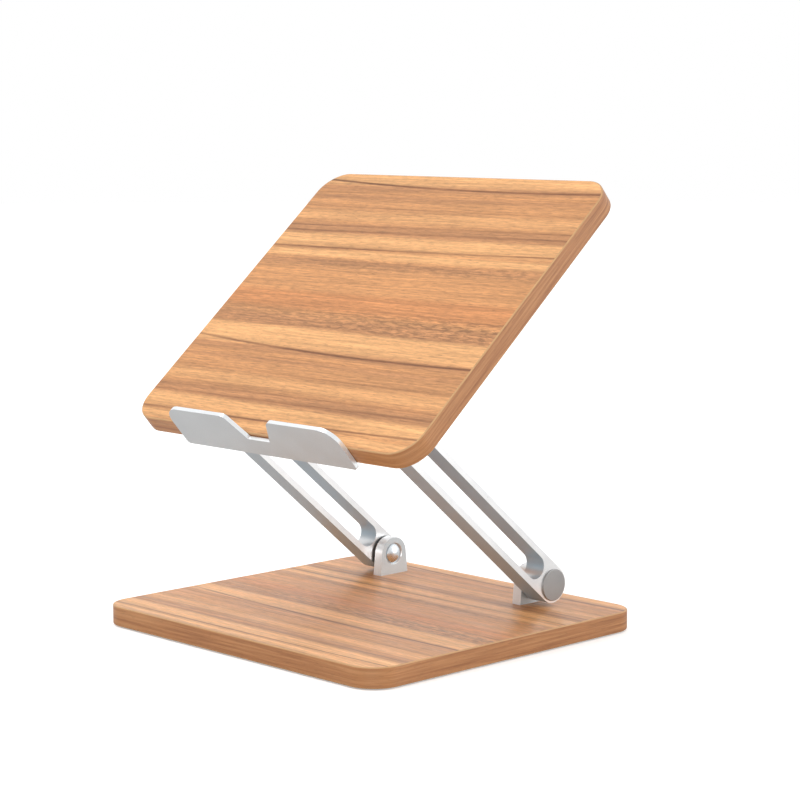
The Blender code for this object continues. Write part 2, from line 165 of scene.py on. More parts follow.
# Countersunk screws.
SCREW_RADIUS = 0.0015
SCREW_HEAD_RADIUS = 0.0029
SCREW_HEAD_RIM = 0.0002
SCREW_SINK = 0.0003
SOCKET_RADIUS = 0.0012
SOCKET_DEPTH = 0.0011
SOCKET_LEAD_IN = 0.0001
BASE_SCREW_LENGTH = 0.0170
TRAY_SCREW_LENGTH = 0.0095
TRAY_SCREW_SPREAD = 0.0065
TRAY_SCREW_REACH = 0.0110
STOP_SCREW_LENGTH = 0.0090
STOP_SCREW_SET_BACK = 0.0085
STOP_SCREWS = (("outer_left", -0.046), ("inner_left", -0.018),
               ("inner_right", 0.018), ("outer_right", 0.046))

# Feet.
FOOT_CHAMFER = 0.0004
FOOT_GROOVE = 0.0003
FOOT_RINGS = (0.75, 0.5, 0.25)

# Veneer: the printed figure repeats every so many millimetres of depth. Each band is the
# distance into the repeat and the colour there; each line is its distance on the middle of
# the board, its slope and bow towards the sides, its half width and its strength.
VENEER_REPEAT = 142.5
VENEER_START = 76.0
VENEER_HALF_WIDTH = 0.120
VENEER_TINT = (0.905, 0.808, 0.613, 1.0)
VENEER_SPECULAR = 0.36
PALE = (243, 190, 142)
HONEY = (229, 176, 130)
AMBER = (224, 166, 119)
ORANGE = (218, 154, 107)
TAN = (214, 159, 115)
BROWN = (201, 148, 109)
GROWTH_LINE = (122, 76, 44)
VENEER_BANDS = (
    (0.0, PALE), (6.5, PALE), (9.5, BROWN), (16.0, BROWN), (20.0, TAN), (26.0, ORANGE),
    (36.0, ORANGE), (40.0, AMBER), (55.0, AMBER), (59.5, TAN), (64.5, BROWN), (67.0, TAN),
    (70.0, PALE), (73.0, PALE), (75.5, TAN), (78.0, HONEY), (81.0, PALE), (87.0, PALE),
    (90.0, BROWN), (96.0, BROWN), (99.0, TAN), (103.0, HONEY), (107.0, HONEY), (112.0, TAN),
    (119.0, TAN), (122.5, BROWN), (126.0, AMBER), (130.0, BROWN), (132.5, BROWN), (136.0, PALE),
    (142.5, PALE),
)
VENEER_LINES = (
    (131.7, -3.0, 3.3, 1.5, 0.85),
    (76.6, 1.2, 0.9, 1.2, 0.70),
    (91.5, 1.0, 0.2, 1.5, 0.45),
    (96.8, 1.0, -0.3, 1.1, 0.32),
    (112.5, -0.6, 0.4, 0.9, 0.26),
    (125.0, -0.8, 0.6, 0.9, 0.22),
)

# Edge band: three tones of its grain, and the lighter rims above and below it.
EDGE_DARK = (168, 108, 70)
EDGE_MIDDLE = (192, 130, 88)
EDGE_LIGHT = (212, 152, 108)
EDGE_RIM = (232, 186, 142)
EDGE_RIM_BAND = (0.0051, 0.0058)
EDGE_RIM_STRENGTH = 0.75
EDGE_TINT = (0.79, 0.785, 0.645, 1.0)


def turned(x, y, z):
    return Euler((x, y, z)).to_matrix().to_4x4()


def at(x, y, z):
    return Matrix.Translation((x, y, z))


def across(side):
    """Turns a piece so that its +Z points outward along the hinge line."""
    return turned(0, side * math.pi / 2, 0)


UPRIGHT = turned(math.pi / 2, 0, math.pi / 2)  # an outline's X, Y and Z become Y, Z and X
FACING = turned(math.pi / 2, 0, 0)  # an outline's X, Y and Z become X, Z and -Y
UPSIDE_DOWN = turned(math.pi, 0, 0)


# Meshes

def temporary_object(data, place=None):
    item = bpy.data.objects.new("temporary", data)
    bpy.context.scene.collection.objects.link(item)
    item.matrix_world = place or Matrix.Identity(4)
    return item


def baked_mesh(item):
    """The evaluated mesh of an object, welded and facing outward. The object is removed."""
    bpy.context.view_layer.update()
    evaluated = item.evaluated_get(bpy.context.evaluated_depsgraph_get())
    mesh = bpy.data.meshes.new_from_object(evaluated)
    shape = bmesh.new()
    shape.from_mesh(mesh)
    bmesh.ops.remove_doubles(shape, verts=shape.verts, dist=WELD)
    bmesh.ops.recalc_face_normals(shape, faces=shape.faces)
    shape.to_mesh(mesh)
    shape.free()
    bpy.data.objects.remove(item, do_unlink=True)
    return mesh


def combined(mesh, operation, tools):
    """A mesh with each (mesh, place) tool joined to it or cut from it."""
    item = temporary_object(mesh)
    helpers = [temporary_object(tool, place) for tool, place in tools]
    for helper in helpers:
        modifier = item.modifiers.new("tool", "BOOLEAN")
        modifier.operation = operation
        modifier.solver = "EXACT"
        modifier.object = helper
    result = baked_mesh(item)
    for helper in helpers:
        bpy.data.objects.remove(helper, do_unlink=True)
    return result


def bevelled(mesh, width, segments=3):
    item = temporary_object(mesh)
    modifier = item.modifiers.new("edge", "BEVEL")
    modifier.width = width
    modifier.segments = segments
    modifier.limit_method = "ANGLE"
    modifier.angle_limit = BEVEL_ANGLE
    return baked_mesh(item)


def arc(centre, radius, start, stop, steps):
    """Points from one angle to another about a centre, both ends included."""
    turns = (start + (stop - start) * step / steps for step in range(steps + 1))
    return [(centre[0] + radius * math.cos(turn), centre[1] + radius * math.sin(turn))
            for turn in turns]


def rounded_outline(corners, steps=10):
    """A closed outline from (x, y, radius) corners, each rounded by an arc of its radius."""
    outline = []
    for index, (x, y, radius) in enumerate(corners):
        if not radius:
            outline.append((x, y))
            continue
        before = corners[index - 1]
        after = corners[(index + 1) % len(corners)]
        back = math.atan2(before[1] - y, before[0] - x)
        ahead = math.atan2(after[1] - y, after[0] - x)
        half = math.remainder(ahead - back, math.tau) / 2
        reach = radius / math.sin(abs(half))
        centre = (x + reach * math.cos(back + half), y + reach * math.sin(back + half))
        swing = math.copysign(math.pi / 2 - abs(half), half)
        facing = back + half + math.pi
        outline += arc(centre, radius, facing + swing, facing - swing, steps)
    return outline


def capsule(start, stop, radius, steps):
    """A closed outline with round ends about two points on the first axis."""
    quarter = math.pi / 2
    return (arc((start, 0), radius, quarter, 3 * quarter, steps)
            + arc((stop, 0), radius, -quarter, quarter, steps))


def plate_mesh(outlines, thickness):
    """Closed outlines in the XY plane, the first with the others as holes, made thick along Z."""
    curve = bpy.data.curves.new("outline", "CURVE")
    curve.dimensions = "2D"
    curve.fill_mode = "BOTH"
    curve.extrude = thickness / 2
    for outline in outlines:
        spline = curve.splines.new("POLY")
        spline.points.add(len(outline) - 1)
        for point, (x, y) in zip(spline.points, outline):
            point.co = (x, y, 0, 1)
        spline.use_cyclic_u = True
    return baked_mesh(temporary_object(curve))


def turned_mesh(profile, sides=ROUND_SIDES, closed=False):
    """A (radius, height) profile turned about Z. It runs down the outer side."""
    count = len(profile)
    edges = [(index, index + 1) for index in range(count - 1)]
    if closed:
        edges.append((count - 1, 0))
    mesh = bpy.data.meshes.new("profile")
    mesh.from_pydata([(radius, 0, height) for radius, height in profile], edges, [])
    item = temporary_object(mesh)
    modifier = item.modifiers.new("turn", "SCREW")
    modifier.axis = "Z"
    modifier.steps = sides
    modifier.render_steps = sides
    modifier.use_merge_vertices = True
    modifier.merge_threshold = WELD
    return baked_mesh(item)


def box_mesh(width, depth, height):
    shape = bmesh.new()
    bmesh.ops.create_cube(shape, size=1, matrix=Matrix.Diagonal((width, depth, height, 1)))
    mesh = bpy.data.meshes.new("box")
    shape.to_mesh(mesh)
    shape.free()
    return mesh


# Materials

def linear(colour):
    """A display colour, 0 to 255 a channel, as linear light."""
    channels = (channel / 255 for channel in colour)
    return tuple(c / 12.92 if c <= 0.04045 else ((c + 0.055) / 1.055) ** 2.4 for c in channels)


def new_material(name, metallic=0.0):
    material = bpy.data.materials.new(name)
    material.use_nodes = True
    tree = material.node_tree
    shader = tree.nodes["Principled BSDF"]
    shader.inputs["Metallic"].default_value = metallic
    return material, tree, shader


def feed(tree, socket, value):
    """Gives a socket a plain value, or the output of another node."""
    if isinstance(value, bpy.types.NodeSocket):
        tree.links.new(value, socket)
    else:
        socket.default_value = value


def maths(tree, operation, *values):
    node = tree.nodes.new("ShaderNodeMath")
    node.operation = operation
    for socket, value in zip(node.inputs, values):
        feed(tree, socket, value)
    return node.outputs["Value"]


def object_place(tree):
    return tree.nodes.new("ShaderNodeTexCoord").outputs["Object"]


def split(tree, vector):
    node = tree.nodes.new("ShaderNodeSeparateXYZ")
    feed(tree, node.inputs["Vector"], vector)
    return node.outputs["X"], node.outputs["Y"], node.outputs["Z"]


def noise(tree, vector, stretch, detail=3.0, roughness=0.5, distortion=0.0):
    """Noise with so many cycles a metre along each axis."""
    scaled = tree.nodes.new("ShaderNodeVectorMath")
    scaled.operation = "MULTIPLY"
    feed(tree, scaled.inputs[0], vector)
    scaled.inputs[1].default_value = stretch
    node = tree.nodes.new("ShaderNodeTexNoise")
    node.inputs["Scale"].default_value = 1.0
    node.inputs["Detail"].default_value = detail
    node.inputs["Roughness"].default_value = roughness
    node.inputs["Distortion"].default_value = distortion
    feed(tree, node.inputs["Vector"], scaled.outputs["Vector"])
    return node.outputs["Fac"]


def remap(tree, value, low, high, start, stop, smooth=True):
    """The value's span from low to high, as a span from start to stop, held at both ends."""
    node = tree.nodes.new("ShaderNodeMapRange")
    node.interpolation_type = "SMOOTHSTEP" if smooth else "LINEAR"
    feed(tree, node.inputs["Value"], value)
    feed(tree, node.inputs["From Min"], low)
    feed(tree, node.inputs["From Max"], high)
    feed(tree, node.inputs["To Min"], start)
    feed(tree, node.inputs["To Max"], stop)
    return node.outputs["Result"]


def ramp(tree, value, stops):
    """Colours along a value, from (position, display colour) stops."""
    node = tree.nodes.new("ShaderNodeValToRGB")
    feed(tree, node.inputs["Fac"], value)
    elements = node.color_ramp.elements
    while len(elements) < len(stops):
        elements.new(1.0)
    for element, (position, colour) in zip(elements, stops):
        element.position = position
        element.color = (*linear(colour), 1.0)
    return node.outputs["Color"]


def mixed(tree, blend, factor, first, second):
    """Two colours blended. The node's colour sockets follow its number and vector ones."""
    node = tree.nodes.new("ShaderNodeMix")
    node.data_type = "RGBA"
    node.blend_type = blend
    feed(tree, node.inputs["Factor"], factor)
    feed(tree, node.inputs[6], first)
    feed(tree, node.inputs[7], second)
    return node.outputs[2]


def shaded(tree, colour, *shares):
    """A colour made darker or lighter by each share in turn."""
    total = shares[0]
    for share in shares[1:]:
        total = maths(tree, "MULTIPLY", total, share)
    scale = tree.nodes.new("ShaderNodeVectorMath")
    scale.operation = "SCALE"
    feed(tree, scale.inputs[0], colour)
    feed(tree, scale.inputs["Scale"], total)
    return scale.outputs["Vector"]


def bump(tree, shader, height, strength, distance):
    node = tree.nodes.new("ShaderNodeBump")
    node.inputs["Strength"].default_value = strength
    node.inputs["Distance"].default_value = distance
    feed(tree, node.inputs["Height"], height)
    tree.links.new(node.outputs["Normal"], shader.inputs["Normal"])


def band_distance(tree, place, depth):
    """How far into the figure's repeat a point lies, a little wavy along the board."""
    wobble = noise(tree, place, (7.0, 26.0, 0.0), 2.0)
    wavy = maths(tree, "ADD", depth, maths(tree, "MULTIPLY_ADD", wobble, 3.0, -1.5))
    return maths(tree, "FLOORED_MODULO", wavy, VENEER_REPEAT)


def between_growth_lines(tree, place, depth, share):
    """1 between the dark growth lines, and less in them."""
    straight = maths(tree, "FLOORED_MODULO", depth, VENEER_REPEAT)
    square = maths(tree, "MULTIPLY", share, share)
    fade = remap(tree, noise(tree, place, (14.0, 5.0, 0.0), 2.0), 0.25, 0.6, 0.55, 1.1)
    ragged = noise(tree, place, (90.0, 400.0, 0.0), 2.0)
    plain = 1.0
    for middle, slope, bow, width, strength in VENEER_LINES:
        centre = maths(tree, "MULTIPLY_ADD", share, slope, middle)
        centre = maths(tree, "MULTIPLY_ADD", square, bow, centre)
        centre = maths(tree, "MULTIPLY_ADD", ragged, 0.5, centre)
        off = maths(tree, "ABSOLUTE", maths(tree, "SUBTRACT", straight, centre))
        dark = maths(tree, "MULTIPLY", remap(tree, off, 0.0, width, strength, 0.0), fade)
        plain = maths(tree, "MULTIPLY", plain, maths(tree, "SUBTRACT", 1.0, dark))
    return plain


def band_mask(tree, distance, rise, fall, strength):
    """The strength inside a band of the repeat, from where it rises to where it falls."""
    risen = remap(tree, distance, *rise, 0.0, strength)
    return maths(tree, "MULTIPLY", risen, remap(tree, distance, *fall, 1.0, 0.0))


def coarseness(tree, distance, share):
    """How coarse the figure is: most so in two bands of the repeat, and towards the right."""
    first = band_mask(tree, distance, (7.0, 11.0), (20.0, 30.0), 1.0)
    second = band_mask(tree, distance, (56.0, 61.0), (67.0, 70.0), 0.6)
    across_board = remap(tree, share, -1.0, 0.8, 0.45, 1.0)
    return maths(tree, "MULTIPLY", maths(tree, "ADD", first, second), across_board)


def veneer_material(name, board_depth):
    """Printed walnut veneer: broad bands, thin bowed growth lines, fine grain and flecks."""
    material, tree, shader = new_material(name)
    place = object_place(tree)
    x, y, _ = split(tree, place)
    share = maths(tree, "DIVIDE", x, VENEER_HALF_WIDTH)
    start = board_depth * MILLIMETRES / 2 - VENEER_START
    depth = maths(tree, "MULTIPLY_ADD", y, MILLIMETRES, start)
    distance = band_distance(tree, place, depth)
    stops = [(millimetres / VENEER_REPEAT, colour) for millimetres, colour in VENEER_BANDS]
    colour = ramp(tree, maths(tree, "DIVIDE", distance, VENEER_REPEAT), stops)
    plain = between_growth_lines(tree, place, depth, share)
    colour = mixed(tree, "MIX", plain, (*linear(GROWTH_LINE), 1.0), colour)

    streaks = remap(tree, noise(tree, place, (6.0, 190.0, 0.0), 4.0, 0.65), 0.3, 0.7, 0.84, 1.13)
    grain = remap(tree, noise(tree, place, (14.0, 620.0, 0.0), 4.0, 0.65), 0.28, 0.72, 0.84, 1.13)
    fibre = remap(tree, noise(tree, place, (110.0, 950.0, 0.0), 3.0, 0.65), 0.3, 0.7, 0.84, 1.13)
    pores = remap(tree, noise(tree, place, (150.0, 1300.0, 0.0), 2.0), 0.28, 0.44, 0.74, 1.0)
    flecks = noise(tree, place, (130.0, 650.0, 0.0), 3.0, 0.6, 0.5)
    flecks = remap(tree, flecks, 0.38, 0.60, 0.38, -0.12)
    flecks = maths(tree, "MULTIPLY", flecks, coarseness(tree, distance, share))
    flecks = maths(tree, "SUBTRACT", 1.0, flecks)
    colour = shaded(tree, colour, streaks, grain, fibre, pores, flecks)
    tinted = mixed(tree, "MULTIPLY", 1.0, colour, VENEER_TINT)
    tree.links.new(tinted, shader.inputs["Base Color"])

    sheen = remap(tree, noise(tree, place, (30.0, 300.0, 0.0), 3.0), 0.3, 0.7, 0.34, 0.42)
    tree.links.new(sheen, shader.inputs["Roughness"])
    shader.inputs["Specular IOR Level"].default_value = VENEER_SPECULAR
    bump(tree, shader, maths(tree, "MULTIPLY", fibre, pores), 0.12, 0.0002)
    return material


def edge_material(name):
    """The board's edge band: grain along the edge, a little lighter towards its top and bottom
    rims.
    """
    material, tree, shader = new_material(name)
    place = object_place(tree)
    _, _, z = split(tree, place)
    streaks = noise(tree, place, (16.0, 16.0, 620.0), 4.0, 0.55)
    stops = ((0.28, EDGE_DARK), (0.48, EDGE_MIDDLE), (0.70, EDGE_LIGHT))
    colour = ramp(tree, streaks, stops)
    height = maths(tree, "ABSOLUTE", z)
    rim = remap(tree, height, *EDGE_RIM_BAND, 0.0, EDGE_RIM_STRENGTH)
    colour = mixed(tree, "MIX", rim, colour, (*linear(EDGE_RIM), 1.0))
    fibre = remap(tree, noise(tree, place, (60.0, 60.0, 2600.0), 3.0), 0.2, 0.8, 0.90, 1.08)
    flecks = remap(tree, noise(tree, place, (220.0, 220.0, 1500.0), 2.0), 0.28, 0.45, 0.86, 1.0)
    colour = shaded(tree, colour, fibre, flecks)
    tinted = mixed(tree, "MULTIPLY", 1.0, colour, EDGE_TINT)
    tree.links.new(tinted, shader.inputs["Base Color"])
    shader.inputs["Roughness"].default_value = 0.45
    bump(tree, shader, fibre, 0.12, 0.0002)
    return material


def metal_material(name, colour, roughness, metallic=1.0, painted_underside_colour=None):
    """Metal with a fine even grain, faint handling marks and a little variation in tone.

    The second colour, where there is one, is painted light: it shows, with a lower metallic, on
    faces that point down, where the piece's down-facing attribute is 1, to hold off the warm bounce
    from the wood.
    """
    material, tree, shader = new_material(name, metallic)
    place = object_place(tree)
    tone = remap(tree, noise(tree, place, (35.0, 35.0, 35.0), 3.0), 0.3, 0.7, 0.96, 1.03)
    speck = noise(tree, place, (2600.0, 2600.0, 2600.0), 2.0, 0.6)
    fine = remap(tree, speck, 0.2, 0.8, 0.955, 1.04)
    base = colour
    # Painted light: faces that point down take a cooler colour and a lower metallic.
    if painted_underside_colour:
        under = tree.nodes.new("ShaderNodeAttribute")
        under.attribute_name = PAINTED_UNDERSIDE_LIGHT
        base = mixed(tree, "MIX", under.outputs["Fac"], (*colour, 1.0), (*painted_underside_colour, 1.0))
        painted_metallic = remap(tree, under.outputs["Fac"], 0.0, 1.0, metallic, PAINTED_UNDERSIDE_METALLIC, False)
        feed(tree, shader.inputs["Metallic"], painted_metallic)
    tree.links.new(shaded(tree, base, tone, fine), shader.inputs["Base Color"])
    marks = noise(tree, place, (70.0, 70.0, 70.0), 4.0, 0.6)
    rough = remap(tree, marks, 0.25, 0.75, roughness * 0.88, roughness * 1.12)
    tree.links.new(rough, shader.inputs["Roughness"])
    bump(tree, shader, speck, 0.08, 0.00005)
    return material


def turned_metal_material(name, colour, roughness, metallic=1.0):
    """Metal faced on a lathe: fine rings about the piece's own Z."""
    material, tree, shader = new_material(name, metallic)
    place = object_place(tree)
    x, y, _ = split(tree, place)
    radius = maths(tree, "SQRT", maths(tree, "ADD", maths(tree, "MULTIPLY", x, x),
                                       maths(tree, "MULTIPLY", y, y)))
    rings = tree.nodes.new("ShaderNodeTexNoise")
    rings.noise_dimensions = "1D"
    rings.inputs["Scale"].default_value = 5200.0
    rings.inputs["Detail"].default_value = 2.0
    tree.links.new(radius, rings.inputs["W"])
    tone = remap(tree, noise(tree, place, (60.0, 60.0, 60.0), 3.0), 0.3, 0.7, 0.95, 1.04)
    fine = remap(tree, rings.outputs["Fac"], 0.3, 0.7, 0.96, 1.03)
    tree.links.new(shaded(tree, colour, tone, fine), shader.inputs["Base Color"])
    rough = remap(tree, rings.outputs["Fac"], 0.3, 0.7, roughness * 0.9, roughness * 1.15)
    tree.links.new(rough, shader.inputs["Roughness"])
    bump(tree, shader, rings.outputs["Fac"], 0.06, 0.00005)
    return material


def polymer_material(name, colour, roughness, grain, depth):
    """Moulded rubber or nylon: a dull dark surface with a fine texture and faint dust."""
    material, tree, shader = new_material(name)
    place = object_place(tree)
    texture = noise(tree, place, (grain, grain, grain), 3.0, 0.6)
    dust = remap(tree, noise(tree, place, (180.0, 180.0, 180.0), 4.0), 0.4, 0.8, 0.9, 1.7)
    tree.links.new(shaded(tree, colour, dust), shader.inputs["Base Color"])
    rough = remap(tree, texture, 0.3, 0.7, roughness * 0.9, roughness * 1.1)
    tree.links.new(rough, shader.inputs["Roughness"])
    bump(tree, shader, texture, depth, 0.0001)
    return material


# Pieces

def add_piece(node, mesh, place, body, slot, *materials):
    """The detailed piece that is shown for a CAD node, riding on the node's body."""
    mesh.name = f"shown_{node}"
    mesh.materials.clear()
    for material in materials:
        mesh.materials.append(material)
    mesh.shade_smooth()
    mesh.set_sharp_from_angle(angle=CREASE)
    piece = bpy.data.objects.new(f"shown_{node}", mesh)
    bpy.context.scene.collection.objects.link(piece)
    piece.matrix_world = place
    modifier = piece.modifiers.new("flat_faces", "WEIGHTED_NORMAL")
    modifier.keep_sharp = True
    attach(piece, body)
    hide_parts(node)
    return piece


def local_tools(place, tools):
    """Cutters placed in the stand's frame, moved into the frame of the piece at a place."""
    back = place.inverted()
    return [(mesh, back @ spot) for mesh, spot in tools]


def countersunk_screw(length):
    """A screw with its head's flat face at the origin and its shank down -Z."""
    cone_end = -SCREW_HEAD_RIM - (SCREW_HEAD_RADIUS - SCREW_RADIUS)
    tip = SCREW_RADIUS / 2
    soft = SCREW_HEAD_RIM / 2
    blank = turned_mesh([(0, 0), (SCREW_HEAD_RADIUS - soft, 0), (SCREW_HEAD_RADIUS, -soft),
                         (SCREW_HEAD_RADIUS, -SCREW_HEAD_RIM), (SCREW_RADIUS, cone_end),
                         (SCREW_RADIUS, -length + tip), (tip, -length), (0, -length)],
                        SMALL_SIDES)
    return socketed(blank, SOCKET_RADIUS, SOCKET_DEPTH)


def socketed(blank, radius, depth):
    """A screw blank whose head's face is at the origin, with a hexagon socket cut in it."""
    hexagon = plate_mesh([arc((0, 0), radius, 0, math.tau * 5 / 6, 5)], 2 * depth)
    lead_in = turned_mesh([(0, OVERRUN), (radius, OVERRUN), (radius, -SOCKET_LEAD_IN),
                           (0, -SOCKET_LEAD_IN - radius / 2)], SMALL_SIDES)
    return combined(blank, "DIFFERENCE", [(hexagon, at(0, 0, 0)), (lead_in, at(0, 0, 0))])


def screw_hole(length):
    """The space that a countersunk screw needs, from above its head to below its tip."""
    head = SCREW_HEAD_RADIUS + CLEARANCE
    shank = SCREW_RADIUS + CLEARANCE
    end = -length - CLEARANCE
    return turned_mesh([(0, OVERRUN), (head, OVERRUN), (head, -SCREW_HEAD_RIM),
                        (shank, -SCREW_HEAD_RIM - head + shank), (shank, end), (0, end)],
                       SMALL_SIDES)


def rounded_board(node, place, body, size, tools):
    """A veneered board with upright corners, fine rims and an edge band."""
    outline_mesh = box_mesh(*size)
    shape = bmesh.new()
    shape.from_mesh(outline_mesh)
    uprights = [edge for edge in shape.edges
                if abs(edge.verts[0].co.z - edge.verts[1].co.z) > size.z / 2]
    bmesh.ops.bevel(shape, geom=uprights, offset=BOARD_CORNER, segments=BOARD_CORNER_STEPS,
                    profile=0.5, affect="EDGES")
    shape.to_mesh(outline_mesh)
    shape.free()
    rimmed = bevelled(outline_mesh, BOARD_EDGE, 4)
    mesh = combined(rimmed, "DIFFERENCE", local_tools(place, tools))
    board = add_piece(node, mesh, place, body, "wood", VENEER, EDGE_BAND)
    for face in board.data.polygons:
        flat = abs(face.normal.z) > BOARD_FLAT
        outer = abs(face.center.z) > size.z / 2 - BOARD_EDGE / 4
        face.material_index = 0 if flat and outer else 1
    return board


def foot_pads():
    """Four grooved rubber discs. Returns the cutters for their pockets in the base."""
    tools = []
    for end in ("front", "back"):
        for side_name, _ in SIDES:
            node = f"foot_pad_{end}_{side_name}"
            low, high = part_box(node)
            centre = (low + high) / 2
            radius = (high.x - low.x) / 2
            top = high.z
            profile = [(0, top), (radius, top), (radius, FOOT_CHAMFER)]
            profile += [(radius - FOOT_CHAMFER, 0)]
            for share in FOOT_RINGS:
                ring = radius * share
                profile += [(ring + FOOT_GROOVE, 0), (ring, FOOT_GROOVE), (ring - FOOT_GROOVE, 0)]
            profile += [(0, 0)]
            place = at(centre.x, centre.y, 0)
            add_piece(node, turned_mesh(profile), place, "base", "rubber", RUBBER)
            hole = radius + CLEARANCE
            roof = top + CLEARANCE
            pocket = turned_mesh([(0, roof), (hole, roof), (hole, -OVERRUN), (0, -OVERRUN)])
            tools.append((pocket, place))
    return tools


def arch_outline(drop, foot_side):
    """A round top about the origin with straight flanks to the foot, below (-1) or above (1)."""
    half = BRACKET_FOOT / 2
    flank = math.acos(BRACKET_TOP / math.hypot(half, drop)) - math.atan2(drop, half)
    outline = [(-half, -drop), (half, -drop)]
    outline += arc((0, 0), BRACKET_TOP, flank, math.pi - flank, 40)
    return [(y, -foot_side * z) for y, z in outline]


def hinge_cutter():
    """The stepped bore along a hinge: dome seat, barrel bore and the arm's screw well."""
    bore = BARREL_RADIUS + CLEARANCE
    seat = BRACKET_INNER + SEAT_DEPTH
    mouth = BRACKET_INNER + SEAT_CHAMFER
    profile = [(0, ARM_OUTER + OVERRUN), (WELL_RADIUS, ARM_OUTER + OVERRUN),
               (WELL_RADIUS, ARM_OUTER - WELL_DEPTH), (bore, ARM_OUTER - WELL_DEPTH),
               (bore, seat), (SEAT_RADIUS, seat), (SEAT_RADIUS, mouth),
               (SEAT_RADIUS + SEAT_CHAMFER + OVERRUN, BRACKET_INNER - OVERRUN),
               (0, BRACKET_INNER - OVERRUN)]
    return turned_mesh(profile)


def barrel_mesh():
    """A sleeve nut: a domed head in the bracket's seat and a sleeve that reaches into the arm."""
    seat = BRACKET_INNER + SEAT_DEPTH - CLEARANCE / 3
    rim = seat - DOME_RIM
    sphere = (DOME_RADIUS ** 2 + DOME_HEIGHT ** 2) / (2 * DOME_HEIGHT)
    spread = math.asin(DOME_RADIUS / sphere)
    centre = rim - DOME_HEIGHT + sphere
    dome = arc((0, centre), sphere, spread - math.pi / 2, -math.pi / 2, 20)
    dome[-1] = (0, centre - sphere)
    return turned_mesh([(0, BARREL_FLOOR), (BARREL_BORE, BARREL_FLOOR),
                        (BARREL_BORE, BARREL_END), (BARREL_RADIUS, BARREL_END),
                        (BARREL_RADIUS, seat), (DOME_RADIUS, seat)] + dome)


def hinge_screw_mesh(head_top):
    """The screw that pulls the arm, the washer and the bracket together, its head at the origin."""
    head = head_top - HINGE_HEAD_HEIGHT
    levels = [(0, head_top), (HINGE_HEAD_RADIUS - HINGE_HEAD_BEVEL, head_top),
              (HINGE_HEAD_RADIUS, head_top - HINGE_HEAD_BEVEL), (HINGE_HEAD_RADIUS, head),
              (HINGE_SCREW_RADIUS, head), (HINGE_SCREW_RADIUS, HINGE_SCREW_TIP),
              (0, HINGE_SCREW_TIP)]
    blank = turned_mesh([(radius, level - head_top) for radius, level in levels], SMALL_SIDES)
    return socketed(blank, HINGE_SOCKET_RADIUS, SOCKET_DEPTH)


def ring_mesh(inner, outer, low, high, dish=0.0):
    """A washer between two levels, its inner rim raised by the dish, with eased rims."""
    ease = (high - low) / 5
    return turned_mesh([(inner + ease, high + dish), (outer - ease, high), (outer, high - ease),
                        (outer, low + ease), (outer - ease, low), (inner + ease, low + dish),
                        (inner, low + dish + ease), (inner, high + dish - ease)],
                       closed=True)


def cap_mesh(low, high):
    """A round cover with a rounded rim, and a spigot that fills the mouth of the arm's well."""
    spigot = WELL_RADIUS - CLEARANCE
    face = ARM_OUTER - CONTACT
    rim = arc((CAP_RADIUS - CAP_BEVEL, high - CAP_BEVEL), CAP_BEVEL, math.pi / 2, 0, 5)
    return turned_mesh([(0, high)] + rim + [(CAP_RADIUS, face), (spigot, face), (spigot, low),
                                            (0, low)])


def hinge_pieces(level, place, pin_body, arm_cap_place):
    """The pieces along one hinge line, left and right, and the arms' caps over them."""
    well_floor = ARM_OUTER - WELL_DEPTH
    spring_top = well_floor + CLEARANCE + SPRING_THICKNESS
    head_top = spring_top + SPRING_DISH + CLEARANCE + HINGE_HEAD_HEIGHT
    cap_low, cap_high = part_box(f"{level}_hinge_cap_right")
    for side_name, side in SIDES:
        line = place @ across(side)
        add_piece(f"{level}_hinge_barrel_{side_name}", barrel_mesh(), line, pin_body,
                  "polished_steel", CHROME)
        # The washers are black nylon; their black also paints the shade in the gap between each
        # bracket and arm.
        washer = ring_mesh(BARREL_RADIUS + CLEARANCE, WASHER_RADIUS,
                           BRACKET_OUTER + CLEARANCE / 2, ARM_INNER - CLEARANCE / 2)
        add_piece(f"{level}_friction_washer_{side_name}", washer, line, pin_body, "nylon", BLACK_NYLON_GAP_SHADE)
        spring = ring_mesh(HINGE_SCREW_RADIUS + CLEARANCE, SPRING_RADIUS,
                           well_floor + CLEARANCE, spring_top, SPRING_DISH)
        add_piece(f"{level}_disc_spring_{side_name}", spring, line, pin_body, "zinc_steel", ZINC)
        add_piece(f"{level}_hinge_screw_{side_name}", hinge_screw_mesh(head_top),
                  line @ at(0, 0, head_top), pin_body, "zinc_steel", ZINC)
        add_piece(f"{level}_hinge_cap_{side_name}", cap_mesh(cap_low.x, cap_high.x),
                  arm_cap_place @ across(side), "arms", "grey_metal", CAP_METAL)


def polish_and_highlight_rim(piece):
    """Gives the second material to the faces round the rim of a flat piece: polished metal whose
    lighter colour also paints a bright highlight line along the edges.
    """
    for face in piece.data.polygons:
        face.material_index = 1 if abs(face.normal.z) < RIM_SLOPE else 0


def base_brackets():
    """The two lower brackets. Returns the cutters for their screws."""
    drop = LOWER_HINGE.z - BASE_TOP + CONTACT
    upright = bevelled(plate_mesh([arch_outline(drop, -1)], BRACKET_THICKNESS), BRACKET_EDGE)
    hole = screw_hole(BASE_SCREW_LENGTH)
    middle = (BRACKET_INNER + BRACKET_OUTER) / 2
    tools = []
    for side_name, side in SIDES:
        place = LOWER @ at(side * middle, 0, 0) @ UPRIGHT
        cutters = [(hinge_cutter(), LOWER @ across(side))]
        for end in ("front", "back"):
            node = f"base_bracket_screw_{side_name}_{end}"
            low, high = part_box(node)
            centre = (low + high) / 2
            spot = at(centre.x, centre.y, low.z) @ UPSIDE_DOWN
            add_piece(node, countersunk_screw(BASE_SCREW_LENGTH), spot, "base",
                      "zinc_steel", ZINC)
            cutters.append((hole, spot))
        mesh = combined(upright.copy(), "DIFFERENCE", local_tools(place, cutters))
        bracket = add_piece(f"base_bracket_{side_name}", mesh, place, "base", "aluminium",
                            BRACKET_METAL, RIM_METAL_HIGHLIGHT)
        polish_and_highlight_rim(bracket)
        tools += cutters[1:]
    return tools


